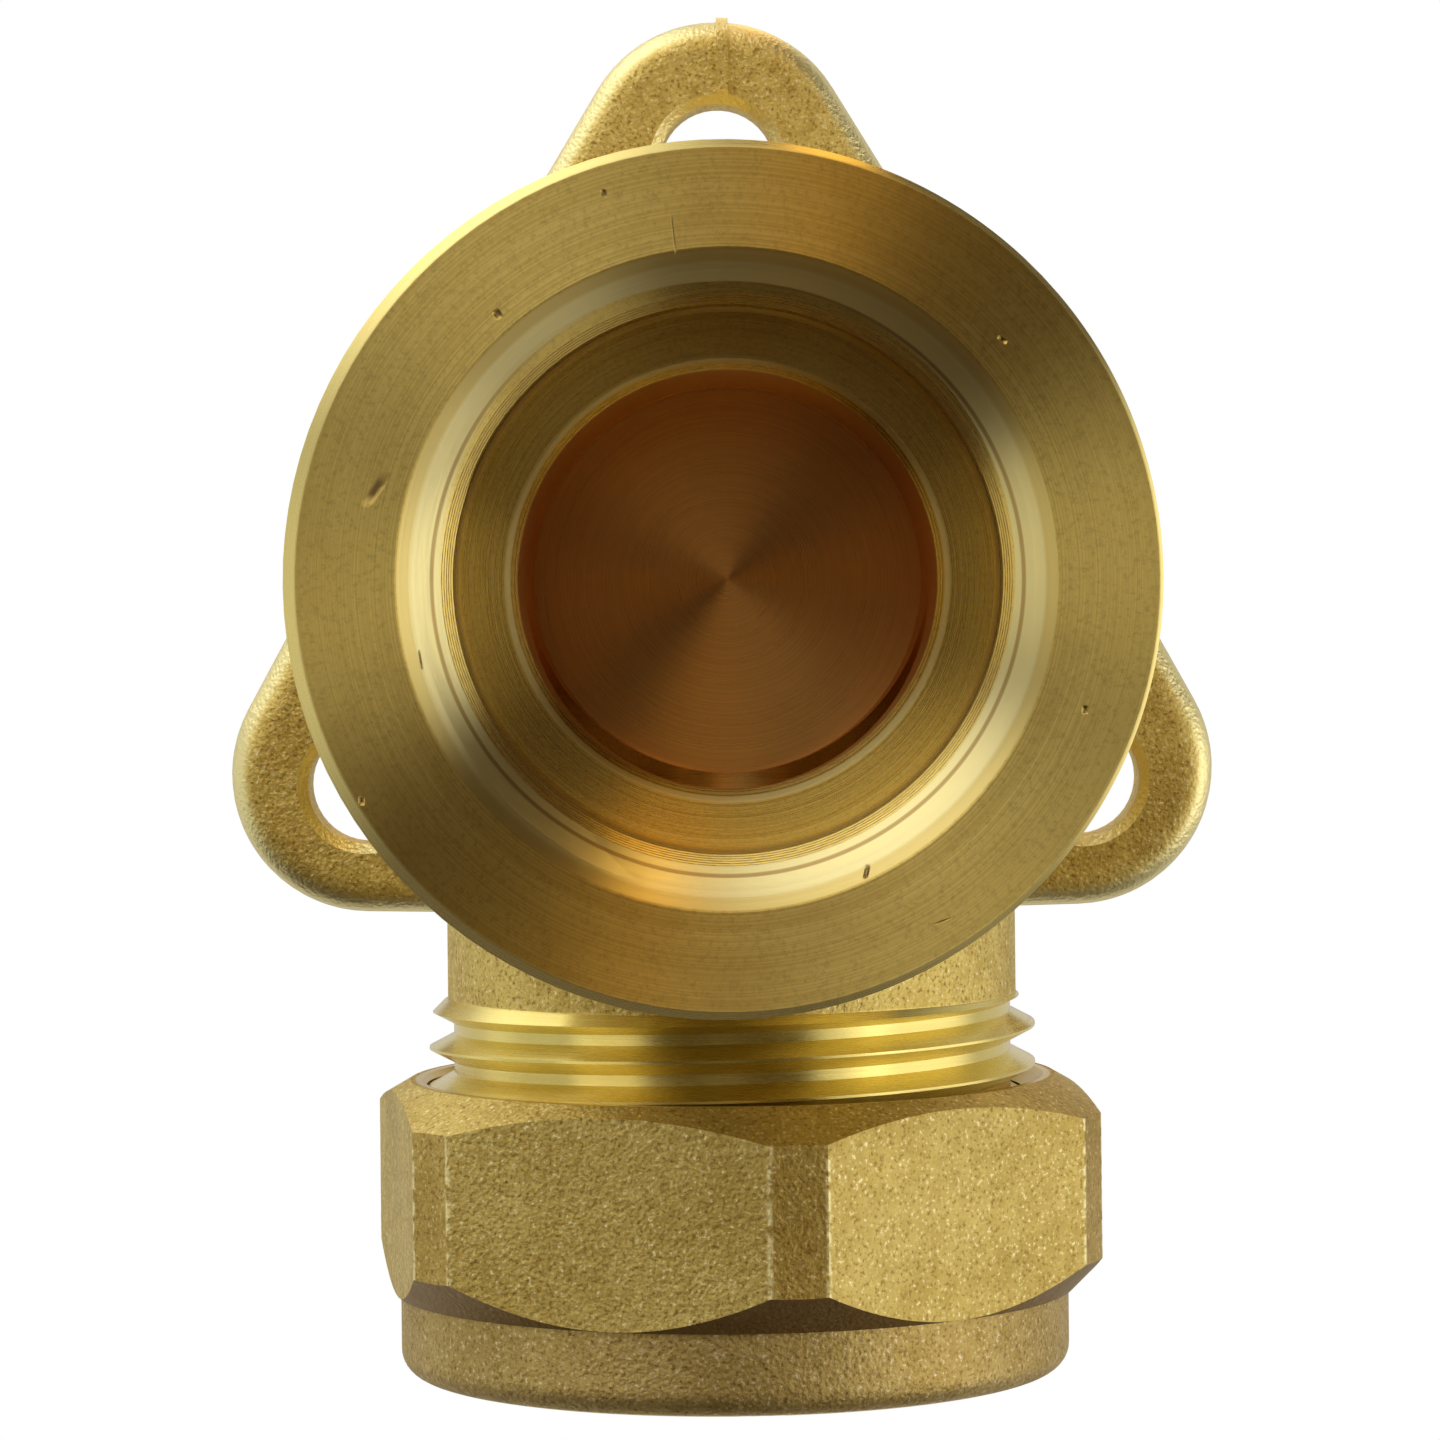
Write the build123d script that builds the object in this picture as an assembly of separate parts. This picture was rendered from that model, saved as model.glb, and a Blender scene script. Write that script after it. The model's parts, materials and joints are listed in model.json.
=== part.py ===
from build123d import *
import math
import os

# Wall-plate elbow for 22 mm pipe: a forged brass body with a G3/4 female port and a compression
# joint, closed by a hexagon nut over a loose olive. Millimetres, +Z up.
# The wall is the plane y = 0. The threaded port looks along -Y and its axis passes through the
# origin. The compression port hangs down from it, along -Z.

os.makedirs("parts", exist_ok=True)

# ---- driving dimensions ----
WALL_TO_PIPE = 19.0          # wall to the pipe's axis
WALL_TO_FACE = 47.0          # wall to the turned face of the threaded port
PITCH = 25.4 / 14            # every thread here is 14 to the inch
FLANK = 27.5                 # half angle of the threads, degrees

# threaded port, depths measured from its face
PORT_MAJOR_R = 26.441 / 2
PORT_MINOR_R = 24.117 / 2
PORT_MOUTH_R = 13.95
PORT_LEAD_ANGLE = 60.0       # the mouth's chamfer, measured from the port's axis
PORT_CREST = 0.55            # width of the port thread's crests
PORT_START_ANGLE = 248.0     # where the thread breaks into the chamfer, from +X towards +Z
PORT_TURNS = 7               # of groove, from the open mouth to the relief
PORT_RELIEF_R = 13.4
PORT_RELIEF_WIDTH = 1.5
PORT_SHELF_DEPTH = 17.0
FACE_R = 18.1
BOSS_R = 18.46
BOSS_SHIFT_X = -0.2          # the forged boss stands this far off the turned axis
BOSS_LENGTH = 17.5
WATERWAY_R = 9.5
SHELF_EDGE = 0.5             # broken edge where the waterway leaves the shelf
FLOOR_PAST_PIPE = 0.35       # the port's bore runs this far past the pipe's bore

# forged elbow
BODY_R = 13.8
NECK_R = 13.4
ELBOW_FILLET = 1.5
PLATE_FILLET = 1.4

# wall plate, places as (x, z)
PLATE_T = 3.8
PLATE_CENTRE = (-0.38, 0.65)
PLATE_R = 17.6
EAR_R = 6.95
EAR_CIRCLE_R = 20.55
EAR_ANGLES = (90.0, 210.0, 330.0)
EAR_EDGE = 1.6               # rounding of the plate's front edge
BACK_EDGE = 0.4
HOLE_CENTRE = (-0.3, 0.2)
HOLE_CIRCLE_R = 20.8
HOLE_R = 2.9
HOLE_EDGE = 0.5
POCKET_R = 9.0               # hollow forged into the plate's back
POCKET_DEPTH = 4.0
FLASH_HEIGHT = 0.22          # the line that the forging dies leave where they part
FLASH_WIDTH = 0.6

# compression end, depths measured down from the port's axis
BLANK_TOP = 19.5             # the turned end starts to stand proud of the neck
MALE_MAJOR_R = 28.575 / 2
MALE_ROOT_R = MALE_MAJOR_R - 1.16
MALE_CREST = 0.12
CREST_AT = 21.0              # a crest crosses the +X side at this depth
MALE_TURNS_ABOVE = 2         # of groove above that crest, which fade into the neck
MALE_TURNS_BELOW = 6         # of groove below it, past the body's end
BODY_END = 29.0
END_EDGE = 0.5
SOCKET_R = 11.1
SOCKET_TOP = 13.5
SEAT_R = 12.75
SEAT_ANGLE = 30.0            # half angle of the olive's seat

# nut
NUT_TOP = 23.4
NUT_BOTTOM = 37.2
NUT_FLATS = 32.0
NUT_CORNER_R = 17.72         # from the axis to each flattened corner
NUT_TURN = 9.3               # a corner stands this many degrees right of the front
NUT_RIM_R = 15.2
NUT_TOP_CONE = 30.0
HEX_BOTTOM = 33.35
COLLAR_R = 15.74
COLLAR_EDGE = 1.2
NUT_MINOR_R = 13.35
NUT_MAJOR_R = 14.45
NUT_CREST = 0.5
NUT_MOUTH_R = 14.65
NUT_TURNS = 5                # of groove, from the open mouth down to the relief
NUT_RELIEF_R = 14.6
NUT_RELIEF_WIDTH = 1.5
NUT_BORE_R = 11.15
NUT_CONE_END = 34.5
NUT_BORE_EDGE = 0.5

# olive
OLIVE_BORE_R = 11.05
OLIVE_R = 12.6
OLIVE_END_R = 11.45
OLIVE_TRAVEL = 1.2           # how far the nut and olive can rise before the olive seats
OLIVE_GAP = 0.2              # between the olive and the nut's cone

PIPE_Y = -WALL_TO_PIPE
FACE_Y = -WALL_TO_FACE


def tangent(degrees):
    return math.tan(math.radians(degrees))


def turned(points):
    """A solid turned about Z, from its half section's (radius, height) corners."""
    return revolve(Plane.XZ * make_face(Polyline(points, close=True)), Axis.Z)


def seam_aside(hollow):
    """The same hollow with its surfaces' seam a quarter turn away from a groove's ends."""
    return Rot(0, 0, -90) * hollow


def behind_face(depth):
    """A place on the port's axis at this depth, with Z towards the wall."""
    return Pos(0, FACE_Y + depth, 0) * Rot(-90, 0, 0)


def below_axis(depth):
    """A place on the pipe's axis, this far below the port's axis."""
    return Pos(0, PIPE_Y, -depth)


def groove(root_r, open_r, opening, turns):
    """The cutter of a right-hand V groove that starts at +X and climbs one pitch a turn.

    root_r is the groove's bottom, and opening is its width where it leaves the metal, at open_r.
    """
    depth = open_r - root_r
    beyond = math.copysign(0.6, depth)
    root = opening / 2 - abs(depth) * tangent(FLANK)
    wide = opening / 2 + abs(beyond) * tangent(FLANK)
    path = Helix(PITCH, turns * PITCH, root_r)
    section = make_face(Polyline([
        (0, -root),
        (depth + beyond, -wide),
        (depth + beyond, wide),
        (0, root),
    ], close=True))
    return sweep(Plane(path @ 0, (1, 0, 0), path % 0) * section, path=path, is_frenet=True)


def plate_outline(grow):
    """A rounded triangle: the hull of three ears and a middle disc, seen from the front."""
    centre = Vector(*PLATE_CENTRE)
    sketch = Pos(centre) * Circle(PLATE_R + grow)
    for angle in EAR_ANGLES:
        ear = centre + Vector(EAR_CIRCLE_R, 0).rotate(Axis.Z, angle)
        sketch += Pos(ear) * Circle(EAR_R + grow)
    return make_hull(sketch.edges())


def wall_plate(grow):
    """The plate against the wall, rounded towards the front."""
    front = Plane((0, 0, 0), x_dir=(1, 0, 0), z_dir=(0, -1, 0))
    plate = extrude(front * plate_outline(grow), PLATE_T + grow)
    plate = fillet(plate.edges().group_by(Axis.Y)[0], EAR_EDGE)
    return fillet(plate.edges().group_by(Axis.Y)[-1], BACK_EDGE)


def forged_solids(grow):
    """The forging before any machining. grow swells it, to make the dies' parting line."""
    boss = Pos(BOSS_SHIFT_X, 0, 0) * behind_face(0) * turned([
        (0, 0),
        (BOSS_R + grow, 0),
        (BOSS_R + grow, BOSS_LENGTH),
        (0, BOSS_LENGTH + BOSS_R + grow),
    ])
    trunk = behind_face(BOSS_LENGTH) * turned([
        (0, 0),
        (BODY_R + grow, 0),
        (BODY_R + grow, WALL_TO_FACE - BOSS_LENGTH - BACK_EDGE),
        (0, WALL_TO_FACE - BOSS_LENGTH - BACK_EDGE),
    ])
    neck = below_axis(BLANK_TOP + 1) * turned([
        (0, 0),
        (NECK_R + grow, 0),
        (NECK_R + grow, BLANK_TOP + 1),
        (0, BLANK_TOP + 1),
    ])
    return boss, trunk, neck, wall_plate(grow)


def forging():
    """The raw forging with its blended corners. The short edges beside the boss's cone stay sharp."""
    boss, trunk, neck, plate = forged_solids(0)
    elbow = boss + trunk + neck
    blends = [edge for edge in elbow.edges().filter_by(GeomType.BSPLINE) if edge.length > NECK_R]
    elbow = fillet(blends, ELBOW_FILLET)
    forged = elbow + plate
    foot = [
        edge for edge in forged.edges().filter_by(GeomType.CIRCLE)
        if abs(edge.length - 2 * math.pi * BODY_R) < 0.1
    ]
    return fillet(foot, PLATE_FILLET)


def parting_flash():
    """A low ridge on the trunk, neck and plate, in the plane through both axes.

    The boss has none, because its rim is turned clean.
    """
    slab = Pos(0, FACE_Y / 2, 0) * Box(FLASH_WIDTH, WALL_TO_FACE, 4 * EAR_CIRCLE_R)
    _, trunk, neck, plate = forged_solids(FLASH_HEIGHT)
    return (trunk + neck + plate) & slab


def port_groove_start():
    """The depth at which the port's groove starts, one turn before it leaves the chamfer."""
    return (PORT_MOUTH_R - PORT_MAJOR_R) / tangent(PORT_LEAD_ANGLE) - PITCH


def port_hollow():
    """What is turned out of the port: the mouth, the bore with its thread relief, the waterway."""
    lead = (PORT_MOUTH_R - PORT_MINOR_R) / tangent(PORT_LEAD_ANGLE)
    relief = port_groove_start() + PORT_TURNS * PITCH
    floor = WALL_TO_FACE - WALL_TO_PIPE + WATERWAY_R + FLOOR_PAST_PIPE
    return behind_face(0) * seam_aside(turned([
        (0, -1),
        (PORT_MOUTH_R + tangent(PORT_LEAD_ANGLE), -1),
        (PORT_MINOR_R, lead),
        (PORT_MINOR_R, relief - PORT_RELIEF_WIDTH / 2),
        (PORT_RELIEF_R, relief - PORT_RELIEF_WIDTH / 2),
        (PORT_RELIEF_R, relief + PORT_RELIEF_WIDTH / 2),
        (PORT_MINOR_R, relief + PORT_RELIEF_WIDTH / 2),
        (PORT_MINOR_R, PORT_SHELF_DEPTH),
        (WATERWAY_R + SHELF_EDGE, PORT_SHELF_DEPTH),
        (WATERWAY_R, PORT_SHELF_DEPTH + SHELF_EDGE),
        (WATERWAY_R, floor),
        (0, floor),
    ]))


def port_groove():
    """The port's thread."""
    cutter = groove(PORT_MAJOR_R, PORT_MINOR_R, PITCH - PORT_CREST, PORT_TURNS)
    return behind_face(port_groove_start()) * Rot(0, 0, -PORT_START_ANGLE) * cutter


def facing_cut():
    """The chamfer that the facing tool leaves round the port's face, true to the port's axis."""
    outside = BOSS_R + 2
    reach = outside - FACE_R
    ring = turned([
        (FACE_R, 0),
        (outside, 0),
        (outside, reach),
    ])
    return behind_face(0) * ring


def pipe_hollow():
    """The waterway up to the port, the pipe's socket with its stop, and the olive's seat."""
    seat_depth = (SEAT_R - SOCKET_R) / tangent(SEAT_ANGLE)
    return below_axis(0) * turned([
        (0, 0),
        (WATERWAY_R, 0),
        (WATERWAY_R, -SOCKET_TOP),
        (SOCKET_R, -SOCKET_TOP),
        (SOCKET_R, -BODY_END + seat_depth),
        (SEAT_R + tangent(SEAT_ANGLE), -BODY_END - 1),
        (0, -BODY_END - 1),
    ])


def neck_cut():
    """Squares the forged neck off where the turned end takes over."""
    return below_axis(BLANK_TOP) * Cylinder(NECK_R + 1, 4, align=(Align.CENTER, Align.CENTER, Align.MAX))


def threaded_end():
    """The turned end that carries the nut's thread, which fades out on the neck's shoulder."""
    shoulder = MALE_MAJOR_R - NECK_R
    start = CREST_AT + (MALE_TURNS_BELOW - 0.5) * PITCH
    stop = CREST_AT - (MALE_TURNS_ABOVE + 0.5) * PITCH
    rod = Pos(0, 0, -BODY_END) * Cylinder(
        MALE_MAJOR_R, BODY_END - stop - PITCH, align=(Align.CENTER, Align.CENTER, Align.MIN))
    turns = MALE_TURNS_BELOW + MALE_TURNS_ABOVE
    cutter = groove(MALE_ROOT_R, MALE_MAJOR_R, PITCH - MALE_CREST, turns)
    threaded = rod - Pos(0, 0, -start) * cutter
    envelope = turned([
        (0, -BLANK_TOP),
        (NECK_R, -BLANK_TOP),
        (MALE_MAJOR_R + 1, -BLANK_TOP - shoulder - 1),
        (MALE_MAJOR_R + 1, -BODY_END + END_EDGE + 1),
        (MALE_MAJOR_R - END_EDGE, -BODY_END),
        (0, -BODY_END),
    ])
    return below_axis(0) * (threaded & envelope)


def back_pocket():
    """The hollow in the middle of the wall face, with a drafted side."""
    draft = POCKET_DEPTH * tangent(15)
    return Rot(90, 0, 0) * turned([
        (0, -1),
        (POCKET_R + tangent(15), -1),
        (POCKET_R - draft, POCKET_DEPTH),
        (0, POCKET_DEPTH),
    ])


def screw_holes():
    """Three through holes in the ears, each with a broken edge at the front."""
    deep = PLATE_T + 2
    cutter = turned([
        (0, -1),
        (HOLE_R, -1),
        (HOLE_R, PLATE_T - HOLE_EDGE),
        (HOLE_R + HOLE_EDGE + 1, PLATE_T + 1),
        (0, PLATE_T + 1),
    ])
    holes = []
    for angle in EAR_ANGLES:
        spot = Vector(*HOLE_CENTRE) + Vector(HOLE_CIRCLE_R, 0).rotate(Axis.Z, angle)
        holes.append(Pos(spot.X, 0, spot.Y) * Rot(90, 0, 0) * cutter)
    return holes


def elbow_body():
    body = forging() + parting_flash()
    body -= facing_cut()
    body -= neck_cut()
    body += threaded_end()
    body -= port_hollow()
    body -= port_groove()
    body -= pipe_hollow()
    body -= back_pocket()
    body -= screw_holes()
    return body


def nut_blank():
    """A hexagon with flattened corners and a cone at each end, on a round collar."""
    hexagon = RegularPolygon(NUT_FLATS / 2, 6, major_radius=False)
    hexagon &= RegularPolygon(NUT_CORNER_R, 6, major_radius=False, rotation=30)
    prism = Pos(0, 0, -HEX_BOTTOM) * extrude(hexagon, HEX_BOTTOM - NUT_TOP)
    outside = NUT_CORNER_R + 1
    ends = turned([
        (0, -NUT_TOP),
        (NUT_RIM_R, -NUT_TOP),
        (outside, -NUT_TOP - (outside - NUT_RIM_R) * tangent(NUT_TOP_CONE)),
        (outside, -HEX_BOTTOM + outside - NUT_FLATS / 2),
        (NUT_FLATS / 2, -HEX_BOTTOM),
        (0, -HEX_BOTTOM),
    ])
    collar_height = NUT_BOTTOM - HEX_BOTTOM + 1
    collar = Cylinder(COLLAR_R, collar_height, align=(Align.CENTER, Align.CENTER, Align.MIN))
    collar = fillet(collar.edges().group_by(Axis.Z)[0], COLLAR_EDGE)
    turn_corner = Rot(0, 0, -90 + NUT_TURN)
    return below_axis(0) * (turn_corner * (prism & ends) + Pos(0, 0, -NUT_BOTTOM) * collar)


def nut_hollow():
    """The nut's countersunk mouth, its relieved bore with the olive's cone, and the pipe's hole."""
    cone_top = NUT_CONE_END - (NUT_MINOR_R - NUT_BORE_R)
    relief = CREST_AT + NUT_TURNS * PITCH
    return below_axis(0) * seam_aside(turned([
        (0, -NUT_TOP + 1),
        (NUT_MOUTH_R + 1, -NUT_TOP + 1),
        (NUT_MINOR_R, -NUT_TOP - (NUT_MOUTH_R - NUT_MINOR_R)),
        (NUT_MINOR_R, -relief + NUT_RELIEF_WIDTH / 2),
        (NUT_RELIEF_R, -relief + NUT_RELIEF_WIDTH / 2),
        (NUT_RELIEF_R, -relief - NUT_RELIEF_WIDTH / 2),
        (NUT_MINOR_R, -relief - NUT_RELIEF_WIDTH / 2),
        (NUT_MINOR_R, -cone_top),
        (NUT_BORE_R, -NUT_CONE_END),
        (NUT_BORE_R, -NUT_BOTTOM + NUT_BORE_EDGE),
        (NUT_BORE_R + NUT_BORE_EDGE + 1, -NUT_BOTTOM - 1),
        (0, -NUT_BOTTOM - 1),
    ]))


def nut_groove():
    """The nut's thread, from the open mouth to the relief."""
    cutter = groove(NUT_MAJOR_R, NUT_MINOR_R, PITCH - NUT_CREST, NUT_TURNS)
    return below_axis(CREST_AT + NUT_TURNS * PITCH) * cutter


def compression_nut():
    """The nut as it stands when run up by hand, its grooves over the body's crests."""
    return nut_blank() - nut_hollow() - nut_groove()


def olive():
    """The soft ring between the body's seat and the nut's cone."""
    seat_slope = tangent(SEAT_ANGLE)
    upper_rim = BODY_END + OLIVE_TRAVEL - (SEAT_R - OLIVE_R) / seat_slope
    top = upper_rim - (OLIVE_R - OLIVE_END_R) / seat_slope
    bottom = NUT_CONE_END - OLIVE_GAP - (OLIVE_END_R - NUT_BORE_R)
    lower_rim = bottom - (OLIVE_R - OLIVE_END_R)
    return below_axis(0) * turned([
        (OLIVE_BORE_R, -top),
        (OLIVE_END_R, -top),
        (OLIVE_R, -upper_rim),
        (OLIVE_R, -lower_rim),
        (OLIVE_END_R, -bottom),
        (OLIVE_BORE_R, -bottom),
    ])


export_step(elbow_body(), "parts/elbow_body.step")
export_step(compression_nut(), "parts/compression_nut.step")
export_step(olive(), "parts/olive.step")
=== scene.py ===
import json
import math
from types import SimpleNamespace

import bpy
from mathutils import Euler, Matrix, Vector


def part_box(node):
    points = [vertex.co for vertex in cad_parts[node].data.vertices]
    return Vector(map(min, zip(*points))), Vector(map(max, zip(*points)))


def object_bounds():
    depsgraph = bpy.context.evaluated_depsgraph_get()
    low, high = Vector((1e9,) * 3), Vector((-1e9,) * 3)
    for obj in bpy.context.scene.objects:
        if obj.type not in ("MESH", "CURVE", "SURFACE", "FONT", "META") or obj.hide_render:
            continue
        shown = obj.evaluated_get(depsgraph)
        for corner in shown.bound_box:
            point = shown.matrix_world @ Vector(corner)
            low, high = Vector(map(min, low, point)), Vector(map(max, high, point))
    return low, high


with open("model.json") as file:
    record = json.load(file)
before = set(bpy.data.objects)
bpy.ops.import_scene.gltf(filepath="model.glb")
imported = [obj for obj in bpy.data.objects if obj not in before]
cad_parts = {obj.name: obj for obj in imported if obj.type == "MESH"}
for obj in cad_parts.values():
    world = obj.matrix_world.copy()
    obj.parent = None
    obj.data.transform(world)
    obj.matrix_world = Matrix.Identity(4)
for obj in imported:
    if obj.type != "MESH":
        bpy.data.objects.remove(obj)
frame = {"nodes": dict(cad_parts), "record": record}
cad_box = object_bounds()
body_node = frame["nodes"]["elbow_body"]
nut_node = frame["nodes"]["compression_nut"]
olive_node = frame["nodes"]["olive"]

# ---- places read from the frame, in metres ----
MM = 0.001
mounts = {mount["name"]: mount for mount in frame["record"]["mounts"]}
body_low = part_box("elbow_body")[0]
nut_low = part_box("compression_nut")[0]
FACE_Y = body_low.y                                # the turned face of the port
PIPE_Y = mounts["pipe_socket"]["pos_m"][1]         # the pipe's axis
HEX_BOTTOM_Z = nut_low.z + 3.85 * MM               # the hexagon ends above the round collar

# ---- places on the parts, in metres ----
FACE_R = 18.1 * MM                                 # the outer edge of the port's face
MOUTH_R = 13.95 * MM                               # the chamfer's outer edge in that face
CHAMFER_DEPTH = 1.3 * MM                           # past the chamfer's inner edge
SHELF_DEPTH = 17.0 * MM                            # from the face to the step inside the port
SHELF_EDGE_R = 9.94 * MM                           # the broken edge of that step
WATERWAY_R = 9.5 * MM
WATERWAY_DEPTH = PIPE_Y + WATERWAY_R - FACE_Y      # from the face to the far side of the pipe's bore
EARS_Y = -5.0 * MM                                 # the plate and its ears lie between here and the wall
THREAD_TOP_Z = -19.4 * MM                          # the turned end starts here
PIPE_WAY_Z = -9.0 * MM                             # the bore above the pipe opens into the port here
TURNED_END_R = 15.0 * MM                           # clear outside the male thread
NUT_TURNED_R = 15.0 * MM                           # the nut is turned inside this radius
NUT_FLAT_R = 16.0 * MM                             # from the pipe's axis to each of the six flats
NUT_CORNER_R = 17.72 * MM                          # and to each flattened corner between them
NUT_TURN = math.radians(9.3)                       # from the front to the nearest corner
HALF_SIXTH = math.radians(30)                      # from the middle of a flat to its corner
NUT_CORNER_HALF = (NUT_FLAT_R - NUT_CORNER_R * math.cos(HALF_SIXTH)) / math.sin(HALF_SIXTH)

# ---- sizes of the surface's marks ----
SAND_DEPTH = 0.07 * MM
DENT_DEPTH = 0.10 * MM
PORT_RINGS = 14000.0                               # tool marks in each metre of radius or depth
PIPE_RINGS = 9000.0
RING_DRIFT = 0.35                                  # how much the rings change on their way round
QUARTER_TURN = 0.25                                # lays the sheen across the rings

# x, z, length and half width in millimetres, and the turn in degrees, of each knock on the port's face
KNOCKS = (
    (-14.7, 3.9, 1.8, 0.30, 55),
    (-2.1, 14.5, 1.9, 0.06, 96),
    (-9.5, 11.2, 0.4, 0.25, 30),
    (-5.0, 16.2, 0.3, 0.20, 0),
    (-15.4, -9.1, 0.3, 0.22, 0),
    (5.7, -12.3, 0.7, 0.12, 75),
    (11.6, 9.9, 0.5, 0.12, -35),
    (14.9, -5.6, 0.3, 0.20, 0),
    (8.8, -14.4, 0.8, 0.05, 20),
    (-12.9, -3.2, 0.9, 0.05, 100),
)


# ---- small helpers for node trees ----
class Tree:
    """The node tree of a material or a world, with one short call for each kind of node."""

    def __init__(self, owner, end_name):
        owner.use_nodes = True
        self.owner = owner
        self.nodes = owner.node_tree.nodes
        self.links = owner.node_tree.links
        self.end = self.nodes[end_name]

    def add(self, kind, settings=None, **inputs):
        """A new node, with its inputs named with _ for each space."""
        node = self.nodes.new("ShaderNode" + kind)
        for name, value in (settings or {}).items():
            setattr(node, name, value)
        self.feed_named(node, inputs)
        return node

    def feed(self, socket, value):
        """A link if the value is another node's output, and otherwise a constant."""
        if isinstance(value, bpy.types.NodeSocket):
            self.links.new(value, socket)
        else:
            socket.default_value = value

    def feed_named(self, node, inputs):
        for name, value in inputs.items():
            self.feed(node.inputs[name.replace("_", " ")], value)

    def feed_first(self, node, values):
        for socket, value in zip(node.inputs, values):
            self.feed(socket, value)

    def surface(self, **inputs):
        """The inputs of the tree's own last shader."""
        self.feed_named(self.end, inputs)

    def math(self, operation, *values):
        node = self.add("Math", {"operation": operation})
        self.feed_first(node, values)
        return node.outputs[0]

    def product(self, *values):
        total = values[0]
        for value in values[1:]:
            total = self.math("MULTIPLY", total, value)
        return total

    def highest(self, *values):
        total = values[0]
        for value in values[1:]:
            total = self.math("MAXIMUM", total, value)
        return total

    def less(self, value, amount):
        return self.math("SUBTRACT", value, amount)

    def distance(self, value, middle):
        """How far a number is from another, without its sign."""
        return self.math("ABSOLUTE", self.less(value, middle))

    def vector(self, operation, *values):
        node = self.add("VectorMath", {"operation": operation})
        self.feed_first(node, values)
        return node.outputs[1 if operation in ("LENGTH", "DOT_PRODUCT") else 0]

    def step(self, value, low, high):
        """0 below low, 1 above high, smooth between; turned round if low is the greater."""
        node = self.add("MapRange", {"interpolation_type": "SMOOTHSTEP", "clamp": True})
        self.feed_first(node, (value, min(low, high), max(low, high), 0.0, 1.0))
        if low > high:
            return self.less(1.0, node.outputs[0])
        return node.outputs[0]

    def ranged(self, noise, low, high):
        """A noise, which mostly lies from 0.3 to 0.7, stretched to a range of its own."""
        node = self.add("MapRange")
        self.feed_first(node, (noise, 0.3, 0.7, low, high))
        return node.outputs[0]

    def noise(self, position, scale, detail=3.0, rough=0.55):
        node = self.add("TexNoise", None, Vector=position, Scale=scale, Detail=detail, Roughness=rough)
        return node.outputs["Fac"]

    def mix(self, amount, first, second):
        """A number between two numbers."""
        node = self.add("Mix", {"data_type": "FLOAT"})
        self.feed(node.inputs[0], amount)
        self.feed(node.inputs[2], first)
        self.feed(node.inputs[3], second)
        return node.outputs[0]

    def mix_vectors(self, amount, first, second):
        node = self.add("Mix", {"data_type": "VECTOR"})
        self.feed(node.inputs[0], amount)
        self.feed(node.inputs[4], first)
        self.feed(node.inputs[5], second)
        return node.outputs[1]

    def blend(self, amount, first, second, how="MIX"):
        """A colour between two colours."""
        node = self.add("Mix", {"data_type": "RGBA", "blend_type": how})
        self.feed(node.inputs[0], amount)
        for socket, colour in ((node.inputs[6], first), (node.inputs[7], second)):
            self.feed(socket, colour if isinstance(colour, bpy.types.NodeSocket) else (*colour, 1.0))
        return node.outputs[2]

    def bump(self, height, strength, depth):
        return self.add("Bump", None, Strength=strength, Distance=depth, Height=height).outputs[0]

    def place(self):
        """Where the surface is, in the part's own frame."""
        return self.add("TexCoord").outputs["Object"]

    def normal(self):
        """Which way the surface looks, in the part's own frame."""
        return self.add("TexCoord").outputs["Normal"]

    def parts(self, vector):
        node = self.add("SeparateXYZ")
        self.feed(node.inputs[0], vector)
        return node.outputs

    def joined(self, x, y, z):
        node = self.add("CombineXYZ")
        self.feed_first(node, (x, y, z))
        return node.outputs[0]

    def round_tangent(self, offset, axis):
        """The direction round an axis, for the sheen of lathe marks."""
        around = self.vector("CROSS_PRODUCT", axis, offset)
        settings = {"vector_type": "VECTOR", "convert_from": "OBJECT", "convert_to": "WORLD"}
        turn = self.add("VectorTransform", settings, Vector=around)
        return self.vector("NORMALIZE", turn.outputs[0])


def new_material(name):
    return Tree(bpy.data.materials.new(name), "Principled BSDF")


# ---- brass ----
def out_from_pipe(tree, x, y):
    """The way out from the pipe's axis, and how far it is."""
    outward = tree.joined(x, tree.less(y, PIPE_Y), 0.0)
    return outward, tree.vector("LENGTH", outward)


def sand_bump(tree, place):
    """A shot-blasted skin: rounded pits of about a quarter millimetre."""
    fine = tree.noise(place, 6500.0, 3.0, 0.65)
    pits = tree.add("TexVoronoi", {"feature": "SMOOTH_F1"}, Vector=place, Scale=4200.0, Smoothness=0.5)
    coarse = tree.noise(place, 1500.0, 2.0)
    height = tree.math("ADD", tree.product(fine, 0.6), tree.product(pits.outputs["Distance"], 0.4))
    height = tree.math("ADD", height, tree.product(coarse, 0.5))
    return tree.bump(height, 1.0, SAND_DEPTH)


def sandy_brass(tree, place, dark, pale):
    """The colour of a shot-blasted skin: slow patches, dark pits and small bright points."""
    patches = tree.noise(place, 150.0, 4.0)
    mottle = tree.noise(place, 1400.0, 3.0)
    specks = tree.noise(place, 5200.0, 2.0)
    slow = tree.math("ADD", tree.product(patches, 0.6), tree.product(mottle, 0.4))
    colour = tree.blend(tree.step(slow, 0.35, 0.65), dark, pale)
    pits = tree.product(tree.step(specks, 0.54, 0.70), 0.75)
    points = tree.product(tree.step(specks, 0.42, 0.28), 0.9)
    colour = tree.blend(pits, colour, (0.32, 0.19, 0.05))
    return tree.blend(points, colour, (1.0, 0.90, 0.52))


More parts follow.
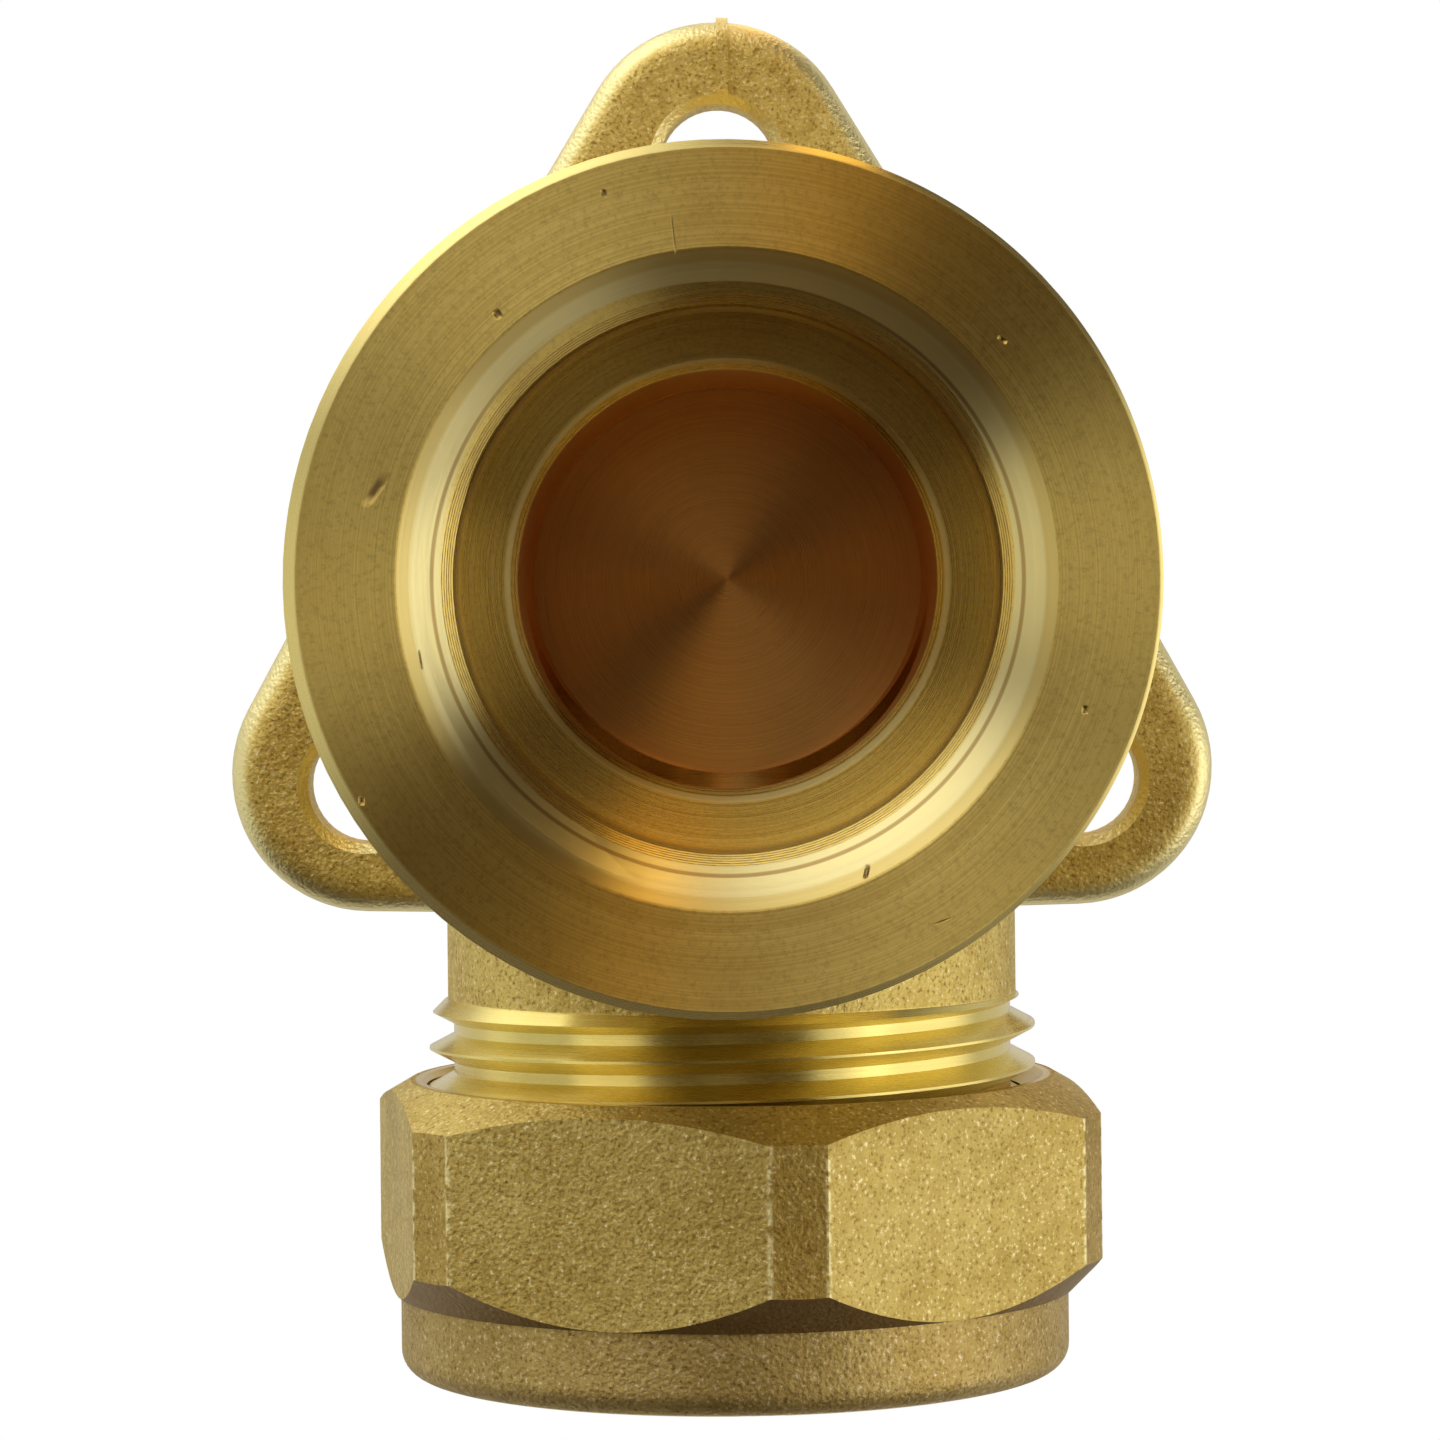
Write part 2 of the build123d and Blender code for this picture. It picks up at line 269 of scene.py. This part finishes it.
def lathe_rings(tree, offset, radius, along, spread):
    """Fine tool marks round an axis: they change with radius and height, and hardly with angle."""
    unit = tree.vector("DIVIDE", offset, tree.joined(radius, radius, radius))
    slow = tree.vector("MULTIPLY", unit, (RING_DRIFT, RING_DRIFT, RING_DRIFT))
    steps = tree.joined(tree.product(radius, spread), tree.product(along, spread), 0.0)
    where = tree.vector("ADD", slow, steps)
    return tree.noise(where, 1.0, 4.0, 0.7)


def knocks(tree, x, z):
    """Where the small knocks and scratches of handling are: 1 in the middle of each, 0 outside."""
    total = 0.0
    for at_x, at_z, length, half_width, degrees in KNOCKS:
        cos, sin = math.cos(math.radians(degrees)), math.sin(math.radians(degrees))
        right = tree.less(x, at_x * MM)
        up = tree.less(z, at_z * MM)
        along = tree.math("ADD", tree.product(right, cos), tree.product(up, sin))
        across = tree.less(tree.product(up, cos), tree.product(right, sin))
        within = tree.step(tree.math("ABSOLUTE", along), 0.5 * length * MM, 0.1 * length * MM)
        thin = tree.step(tree.math("ABSOLUTE", across), half_width * MM, 0.2 * half_width * MM)
        total = tree.highest(total, tree.product(within, thin))
    return total


def shelf_edge(tree, port_r, depth):
    """The broken edge where the waterway leaves the step inside the port."""
    inner = tree.step(port_r, SHELF_EDGE_R - 0.16 * MM, SHELF_EDGE_R - 0.10 * MM)
    outer = tree.step(port_r, SHELF_EDGE_R + 0.18 * MM, SHELF_EDGE_R + 0.10 * MM)
    front = tree.step(depth, SHELF_DEPTH - 0.20 * MM, SHELF_DEPTH - 0.05 * MM)
    back = tree.step(depth, SHELF_DEPTH + 0.9 * MM, SHELF_DEPTH + 0.6 * MM)
    return tree.product(inner, outer, front, back)


def body_zones(tree, port_r, pipe_r, depth, z):
    """Where each turned surface of the body is: 1 on it, 0 off it. The radii leave the skin out."""
    mouth = tree.step(port_r, MOUTH_R + 0.25 * MM, MOUTH_R + 0.05 * MM)
    before_shelf = tree.step(depth, SHELF_DEPTH + 0.4 * MM, SHELF_DEPTH + 0.2 * MM)
    way = tree.step(port_r, WATERWAY_R + 0.9 * MM, WATERWAY_R + 0.7 * MM)
    before_end = tree.step(depth, WATERWAY_DEPTH + 1.5 * MM, WATERWAY_DEPTH + 1.0 * MM)
    in_way = tree.product(way, before_end)
    in_chamfer = tree.step(depth, CHAMFER_DEPTH + 0.2 * MM, CHAMFER_DEPTH)

    face = tree.step(depth, 0.08 * MM, 0.03 * MM)
    behind_face = tree.step(depth, 0.03 * MM, 0.08 * MM)
    past_face_r = tree.step(port_r, FACE_R - 0.05 * MM, FACE_R + 0.02 * MM)
    rim = tree.product(past_face_r, tree.step(depth, 0.9 * MM, 0.7 * MM))
    turned_end = tree.product(tree.step(z, THREAD_TOP_Z, THREAD_TOP_Z - 0.2 * MM),
                              tree.step(pipe_r, TURNED_END_R + 0.5 * MM, TURNED_END_R))
    above_pipe = tree.product(tree.step(z, PIPE_WAY_Z, PIPE_WAY_Z - 0.4 * MM),
                              tree.step(pipe_r, WATERWAY_R + 1.0 * MM, WATERWAY_R + 0.8 * MM))
    lower_end = tree.highest(turned_end, above_pipe)
    return SimpleNamespace(
        face=face,
        rim=rim,
        chamfer=tree.product(mouth, in_chamfer, behind_face),
        waterway=tree.product(in_way, tree.step(depth, SHELF_DEPTH + 0.3 * MM, SHELF_DEPTH + 1.0 * MM)),
        shelf_edge=shelf_edge(tree, port_r, depth),
        lower_end=lower_end,
        turned=tree.highest(face, tree.product(mouth, before_shelf), in_way, rim, lower_end),
    )


def rubbed_edges_painted_highlight(tree, y):
    """The rounded edges of the plate and its ears, where the surface turns away from the front: rubbed
    smoother, and painted paler as a highlight.
    """
    facing = tree.product(tree.parts(tree.normal())[1], -1.0)
    on_plate = tree.step(y, EARS_Y - 0.5 * MM, EARS_Y)
    return tree.product(tree.step(facing, 0.97, 0.75), tree.step(facing, 0.05, 0.35), on_plate)


def chamfer_colour(tree, port_r, rings):
    """The cut chamfer: a duller outer band, a bright inner one, and the thread's first dark line."""
    outer = tree.blend(rings, (0.70, 0.54, 0.18), (0.86, 0.70, 0.28))
    inner = tree.blend(rings, (0.84, 0.70, 0.28), (0.98, 0.89, 0.48))
    colour = tree.blend(tree.step(port_r, MOUTH_R - 0.5 * MM, MOUTH_R - 0.7 * MM), outer, inner)
    off_line = tree.distance(port_r, MOUTH_R - 1.5 * MM)
    line = tree.product(tree.step(off_line, 0.12 * MM, 0.04 * MM), 0.75)
    return tree.blend(line, colour, (0.40, 0.24, 0.07))


def turned_brass(tree, place, port_r, rings, patches, zones):
    """The colour of the body's turned surfaces, each with its own tone."""
    grain = tree.noise(place, 4200.0, 4.0, 0.7)
    dark_grain = tree.product(tree.step(grain, 0.45, 0.75), 0.45)
    stains = tree.product(tree.step(patches, 0.45, 0.75), 0.35)
    colour = tree.blend(tree.step(rings, 0.3, 0.7), (0.70, 0.50, 0.13), (0.92, 0.72, 0.23))
    colour = tree.blend(dark_grain, colour, (0.42, 0.28, 0.08))
    colour = tree.blend(stains, colour, (0.58, 0.38, 0.10))
    colour = tree.blend(zones.chamfer, colour, chamfer_colour(tree, port_r, rings))
    thread = tree.blend(rings, (0.82, 0.67, 0.20), (0.94, 0.80, 0.30))
    colour = tree.blend(zones.lower_end, colour, thread)
    copper = tree.blend(tree.step(rings, 0.2, 0.8), (0.70, 0.36, 0.10), (0.94, 0.52, 0.17))
    colour = tree.blend(zones.waterway, colour, copper)
    colour = tree.blend(zones.shelf_edge, colour, (0.92, 0.78, 0.36))
    return tree.blend(zones.rim, colour, (0.90, 0.74, 0.28))


def turned_roughness(tree, rings, zones):
    rough = tree.ranged(rings, 0.22, 0.34)
    rough = tree.mix(zones.face, rough, tree.ranged(rings, 0.40, 0.50))
    rough = tree.mix(zones.waterway, rough, tree.ranged(rings, 0.26, 0.34))
    rough = tree.mix(zones.chamfer, rough, tree.ranged(rings, 0.28, 0.40))
    return tree.mix(zones.shelf_edge, rough, 0.45)


def body_material():
    """Forged brass with a turned port, a turned face and a turned thread."""
    tree = new_material("forged_brass_detail")
    place = tree.place()
    x, y, z = tree.parts(place)
    from_port = tree.joined(x, 0.0, z)
    port_r = tree.vector("LENGTH", from_port)
    from_pipe, pipe_r = out_from_pipe(tree, x, y)
    depth = tree.less(y, FACE_Y)
    zones = body_zones(tree, port_r, pipe_r, depth, z)

    port_rings = lathe_rings(tree, from_port, port_r, depth, PORT_RINGS)
    pipe_rings = lathe_rings(tree, from_pipe, pipe_r, z, PIPE_RINGS)
    rings = tree.mix(zones.lower_end, port_rings, pipe_rings)
    patches = tree.noise(place, 160.0, 4.0)
    dents = tree.product(knocks(tree, x, z), tree.step(depth, 1.2 * MM, 0.8 * MM))
    edge = rubbed_edges_painted_highlight(tree, y)

    sandy = sandy_brass(tree, place, (0.63, 0.46, 0.12), (0.84, 0.67, 0.22))
    # Painted highlight: the paler colour on the rounded edges stands in for the light they catch; the
    # lower roughness below is wear.
    sandy = tree.blend(edge, sandy, (0.98, 0.86, 0.42))
    bright = turned_brass(tree, place, port_r, rings, patches, zones)
    bright = tree.blend(tree.product(dents, 0.85), bright, (0.24, 0.15, 0.06))
    sandy_rough = tree.mix(edge, tree.ranged(patches, 0.52, 0.62), 0.34)
    round_port = tree.round_tangent(from_port, (0.0, 1.0, 0.0))
    round_pipe = tree.round_tangent(from_pipe, (0.0, 0.0, 1.0))
    dented = tree.add("Bump", {"invert": True}, Strength=1.0, Distance=DENT_DEPTH, Height=dents,
                      Normal=tree.bump(rings, 0.5, 0.015 * MM))
    tree.surface(
        Base_Color=tree.blend(zones.turned, sandy, bright),
        Metallic=1.0,
        Roughness=tree.mix(zones.turned, sandy_rough, turned_roughness(tree, rings, zones)),
        Anisotropic=tree.product(zones.turned, 0.95),
        Anisotropic_Rotation=QUARTER_TURN,
        Tangent=tree.mix_vectors(zones.lower_end, round_port, round_pipe),
        Normal=tree.mix_vectors(zones.turned, sand_bump(tree, place), dented.outputs[0]),
    )
    return tree.owner


def hexagon_edges(tree, place, pipe_r, upward):
    """The nut's upright edges, where spanners wear it bright, and the narrow flats between them."""
    x, y, z = tree.parts(place)
    turn = tree.less(tree.math("ARCTAN2", x, tree.less(PIPE_Y, y)), NUT_TURN)
    aside = tree.product(tree.math("PINGPONG", turn, HALF_SIXTH), NUT_CORNER_R)
    upright = tree.step(tree.math("ABSOLUTE", upward), 0.3, 0.1)
    above_collar = tree.step(z, HEX_BOTTOM_Z - 0.1 * MM, HEX_BOTTOM_Z)
    outside = tree.step(pipe_r, NUT_FLAT_R - 0.4 * MM, NUT_FLAT_R - 0.1 * MM)
    on_hexagon = tree.product(upright, above_collar, outside)
    worn = tree.step(tree.noise(place, 2200.0, 3.0), 0.40, 0.58)
    line = tree.step(tree.distance(aside, NUT_CORNER_HALF), 0.20 * MM, 0.03 * MM)
    edge = tree.product(line, worn, on_hexagon)
    corner = tree.product(tree.step(aside, NUT_CORNER_HALF + 0.1 * MM, NUT_CORNER_HALF), on_hexagon)
    return edge, corner


def nut_skin(tree, place, pipe_r, z):
    """The colour of the nut's shot-blasted outside: worn edges, a collar darkened with painted shade,
    and painted shade on the surfaces facing down under the hexagon.
    """
    upward = tree.parts(tree.normal())[2]
    edge, corner = hexagon_edges(tree, place, pipe_r, upward)
    # Painted shade: the collar under the hexagon is darkened and greyed a little, as if in the hexagon's
    # shadow.
    shaded_collar = tree.step(z, HEX_BOTTOM_Z + 0.1 * MM, HEX_BOTTOM_Z)
    near_hexagon = tree.step(z, HEX_BOTTOM_Z - 0.8 * MM, HEX_BOTTOM_Z - 0.2 * MM)
    # Painted shade: surfaces facing down at the bottom of the hexagon are made dark brown, where shade
    # falls under it.
    underside_shade = tree.product(tree.step(upward, -0.3, -0.55), near_hexagon, 0.7)
    colour = sandy_brass(tree, place, (0.56, 0.41, 0.11), (0.73, 0.57, 0.19))
    colour = tree.blend(shaded_collar, colour, (0.86, 0.83, 0.94), "MULTIPLY")
    colour = tree.blend(corner, colour, (0.86, 0.80, 0.70), "MULTIPLY")
    colour = tree.blend(edge, colour, (1.0, 0.88, 0.46))
    return tree.blend(underside_shade, colour, (0.26, 0.15, 0.08))


def nut_material():
    """Shot-blasted hexagon nut, turned where the pipe and the thread go in."""
    tree = new_material("nut_brass_detail")
    place = tree.place()
    x, y, z = tree.parts(place)
    from_pipe, pipe_r = out_from_pipe(tree, x, y)
    turned = tree.step(pipe_r, NUT_TURNED_R + 0.1 * MM, NUT_TURNED_R - 0.1 * MM)
    rings = lathe_rings(tree, from_pipe, pipe_r, z, PIPE_RINGS)
    bright = tree.blend(rings, (0.68, 0.48, 0.12), (0.80, 0.60, 0.19))
    sandy_rough = tree.ranged(tree.noise(place, 140.0, 4.0), 0.48, 0.58)
    tree.surface(
        Base_Color=tree.blend(turned, nut_skin(tree, place, pipe_r, z), bright),
        Metallic=1.0,
        Roughness=tree.mix(turned, sandy_rough, 0.25),
        Normal=tree.mix_vectors(turned, sand_bump(tree, place), tree.bump(rings, 0.35, 0.012 * MM)),
    )
    return tree.owner


def olive_material():
    """A turned ring of soft, brighter brass."""
    tree = new_material("olive_brass_detail")
    x, y, z = tree.parts(tree.place())
    from_pipe, pipe_r = out_from_pipe(tree, x, y)
    rings = lathe_rings(tree, from_pipe, pipe_r, z, PIPE_RINGS)
    tree.surface(
        Base_Color=tree.blend(rings, (0.70, 0.54, 0.22), (0.84, 0.68, 0.32)),
        Metallic=1.0,
        Roughness=tree.ranged(rings, 0.18, 0.30),
        Normal=tree.bump(rings, 0.3, 0.012 * MM),
    )
    return tree.owner


def dress(node, material):
    node.data.materials.clear()
    node.data.materials.append(material)


# ---- studio ----
def from_camera_side(off_axis, round_axis):
    """A direction so many degrees off the line to the camera, and round it from +X towards +Z."""
    tilt, turn = math.radians(off_axis), math.radians(round_axis)
    return (math.sin(tilt) * math.cos(turn), -math.cos(tilt), math.sin(tilt) * math.sin(turn))


# name: (direction, inner edge and outer edge in degrees, brightness, colour)
SOFT_PANELS = {
    "right": (from_camera_side(82, -6), 12, 40, 1.35, (1.0, 0.98, 0.92)),
    "right_near": (from_camera_side(50, 6), 14, 21, 1.10, (1.0, 0.98, 0.90)),
    "upper_left": (from_camera_side(60, 120), 12, 42, 1.55, (1.0, 0.98, 0.93)),
    "over_left": (from_camera_side(105, 125), 8, 38, 1.10, (1.0, 1.0, 0.94)),
    "lower_right": (from_camera_side(58, -46), 5, 30, 0.55, (1.0, 0.96, 0.88)),
    "left": (from_camera_side(90, 182), 12, 40, 0.55, (0.96, 1.0, 0.95)),
    "left_near": (from_camera_side(52, 184), 13, 20, 0.85, (1.0, 0.93, 0.74)),
    "front": (from_camera_side(15, 106), 2, 15, 0.40, (1.0, 0.90, 0.74)),
    "behind": ((0.0, 1.0, 0.0), 50, 88, 0.54, (1.0, 1.0, 0.98)),
}
ROOM = (0.07, 0.052, 0.035)                        # the light of the room between the panels
WARM_STRIP_TURN = math.radians(76)                 # round the camera's line, from +X towards +Z
WARM_STRIP_LIGHT = (1.35, 0.80, 0.18)
WARM_STRIP_SIDES = (0.11, 0.07)                    # the sines at which its long sides fade in
WARM_STRIP_END = (0.20, 0.45)                      # and at which its near end does
WHITE = (1.0, 1.0, 1.0)


def warm_strip(tree, direction):
    """A long narrow warm light above, whose edge shows as a sharp wedge on turned faces."""
    cos, sin = math.cos(WARM_STRIP_TURN), math.sin(WARM_STRIP_TURN)
    across = tree.vector("DOT_PRODUCT", direction, (-sin, 0.0, cos))
    along = tree.vector("DOT_PRODUCT", direction, (cos, 0.0, sin))
    narrow = tree.step(tree.math("ABSOLUTE", across), *WARM_STRIP_SIDES)
    return tree.product(narrow, tree.step(along, *WARM_STRIP_END))


def studio_world():
    """A dim room with soft round panels of light. The camera sees plain white past the object."""
    world = bpy.data.worlds.new("soft_studio")
    tree = Tree(world, "Background")
    direction = tree.add("TexCoord").outputs["Generated"]
    total = ROOM
    for centre, inner, outer, strength, colour in SOFT_PANELS.values():
        towards = tree.vector("DOT_PRODUCT", direction, Vector(centre).normalized())
        glow = tree.step(towards, math.cos(math.radians(outer)), math.cos(math.radians(inner)))
        total = tree.blend(glow, total, tuple(strength * part for part in colour), "ADD")
    total = tree.blend(warm_strip(tree, direction), total, WARM_STRIP_LIGHT, "ADD")
    seen = tree.add("LightPath").outputs["Is Camera Ray"]
    tree.surface(Color=tree.blend(seen, total, WHITE))
    bpy.context.scene.world = world


FLOOR_SIZE = 3.0
FLOOR_DROP = 300 * MM                              # far enough to be clear of the views from below


def floor():
    """A pale floor far below the fitting, which hangs above it as on a wall."""
    bpy.ops.mesh.primitive_plane_add(size=FLOOR_SIZE, location=(0.0, 0.0, cad_box[0][2] - FLOOR_DROP))
    plane = bpy.context.object
    plane.name = "floor"
    tree = new_material("pale_floor")
    grain = tree.noise(tree.place(), 40.0, 3.0)
    tree.surface(
        Base_Color=tree.blend(grain, (0.88, 0.88, 0.89), (0.92, 0.92, 0.93)),
        Roughness=0.8,
    )
    plane.data.materials.append(tree.owner)
    plane.visible_glossy = False


EYE_DISTANCE = 215 * MM                            # from the port's face
EYE_ROLL = math.radians(0.6)


def camera():
    """A level camera on the port's axis, rolled a little."""
    eye = bpy.data.cameras.new("camera")
    eye.lens = 128.5
    eye.sensor_width = 36.0
    eye.shift_x = -0.0052
    eye.shift_y = -0.0976
    eye.clip_start = 0.01
    holder = bpy.data.objects.new("camera", eye)
    holder.location = (0.0, FACE_Y - EYE_DISTANCE, 0.0)
    holder.rotation_euler = Euler((math.radians(90), EYE_ROLL, 0.0))
    bpy.context.scene.collection.objects.link(holder)
    bpy.context.scene.camera = holder


bpy.context.scene.view_settings.view_transform = "Standard"
dress(body_node, body_material())
dress(nut_node, nut_material())
dress(olive_node, olive_material())
studio_world()
floor()
camera()
